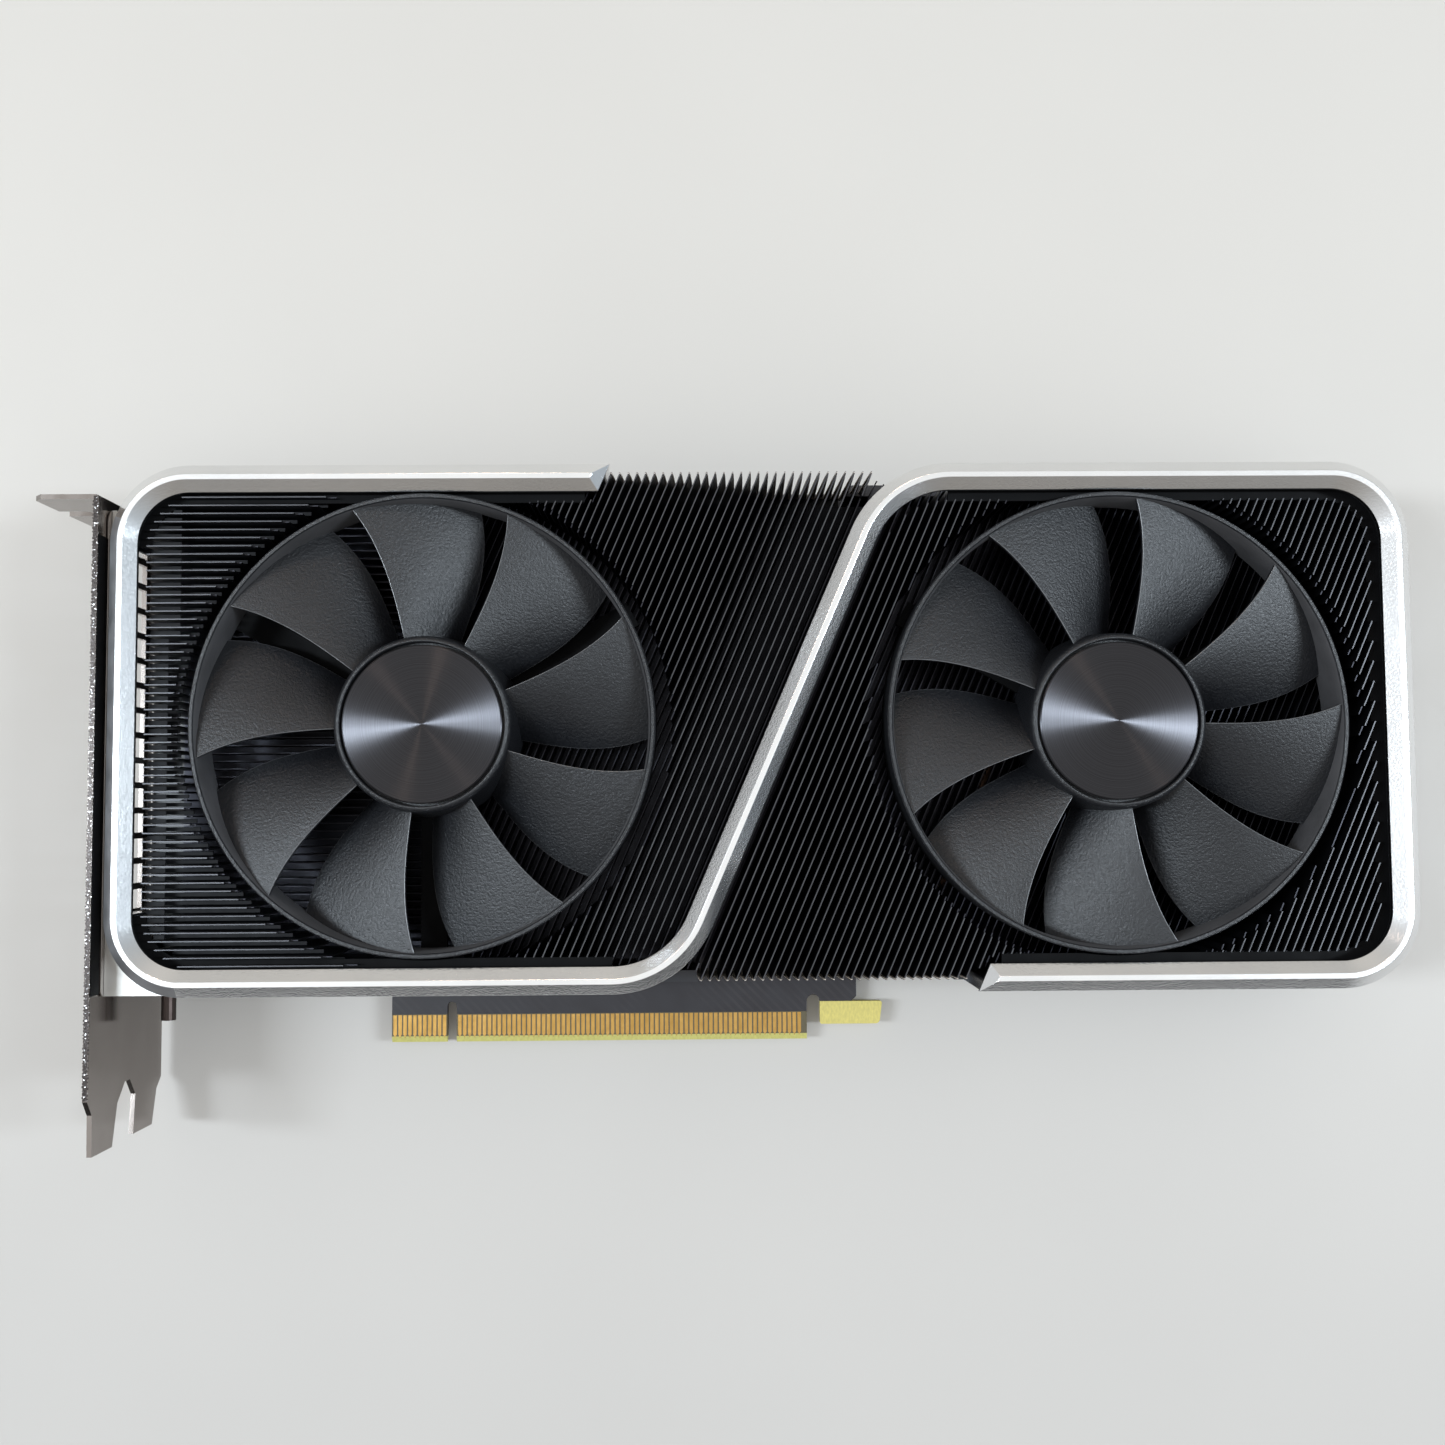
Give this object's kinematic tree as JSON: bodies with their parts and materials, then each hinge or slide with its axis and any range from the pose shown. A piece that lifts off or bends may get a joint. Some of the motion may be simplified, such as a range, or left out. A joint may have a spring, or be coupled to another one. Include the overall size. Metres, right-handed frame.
{
  "type": "graphics card",
  "caption": "Two-slot computer graphics card with a silver ribbon frame, two axial fans sunk into black fins, an edge connector and a slotted bracket.",
  "frame": {"origin": "middle of the footprint, in the plane that the back rests on", "axes": "+X along the card away from the bracket, +Y from the edge connector to the top edge, +Z out of the fans"},
  "size_m": [0.254, 0.1262, 0.0386],
  "materials": {
    "silver_frame": "bead-blasted satin",
    "dark_frame": "satin",
    "fin_black": "satin black",
    "dark_nickel": "dark nickel plate",
    "copper": "copper",
    "solder_mask": "black solder mask",
    "chip_black": "moulded package",
    "hub_cap_metal": "spun, dark anodised",
    "black_plastic": "fine moulded texture",
    "steel": "plated",
    "gold_contacts": "gold plate"
  },
  "bodies": {
    "chassis": {"backplate": "dark_frame", "backplate_screw_1": "steel", "backplate_screw_2": "steel", "bracket": "dark_nickel", "bracket_flange": "silver_frame", "bracket_screw_1": "steel", "bracket_screw_2": "steel", "capacitor_1": "steel", "capacitor_2": "steel", "circuit_board": "solder_mask", "cold_plate": "copper", "fin_stack_left": "fin_black", "fin_stack_middle": "fin_black", "fin_stack_rear": "fin_black", "fin_stack_right": "fin_black", "front_frame": "silver_frame", "gpu_die": "steel", "gpu_substrate": "solder_mask", "heat_pipe_1": "copper", "heat_pipe_2": "copper", "heat_pipe_3": "copper", "heat_pipe_4": "copper", "left_fan_base": "black_plastic", "left_fan_bearing": "steel", "left_fan_header": "black_plastic", "left_fan_lead": "black_plastic", "left_fan_stator": "copper", "locating_post": "dark_nickel", "memory_chip_1": "chip_black", "memory_chip_2": "chip_black", "memory_chip_3": "chip_black", "memory_chip_4": "chip_black", "memory_chip_5": "chip_black", "memory_chip_6": "chip_black", "memory_chip_7": "chip_black", "memory_chip_8": "chip_black", "power_choke_1": "chip_black", "power_choke_2": "chip_black", "power_choke_3": "chip_black", "power_choke_4": "chip_black", "power_connector": "black_plastic", "rear_frame": "dark_frame", "right_fan_base": "black_plastic", "right_fan_bearing": "steel", "right_fan_header": "black_plastic", "right_fan_lead": "black_plastic", "right_fan_stator": "copper", "video_socket_1": "steel", "video_socket_2": "steel", "video_socket_3": "steel", "video_socket_4": "steel"},
    "left_fan": {"left_rotor": "black_plastic", "left_hub_cap": "hub_cap_metal", "left_shaft": "steel", "left_magnet_ring": "chip_black"},
    "right_fan": {"right_rotor": "black_plastic", "right_hub_cap": "hub_cap_metal", "right_shaft": "steel", "right_magnet_ring": "chip_black"}
  },
  "joints": [
    {"name": "left_fan_spin", "type": "hinge", "parent": "chassis", "child": "left_fan", "pos_m": [-0.05585, 0.01495, 0.03], "axis": [0, 0, 1], "continuous": true},
    {"name": "right_fan_spin", "type": "hinge", "parent": "chassis", "child": "right_fan", "pos_m": [0.07225, 0.01485, 0.03], "axis": [0, 0, 1], "continuous": true}
  ]
}
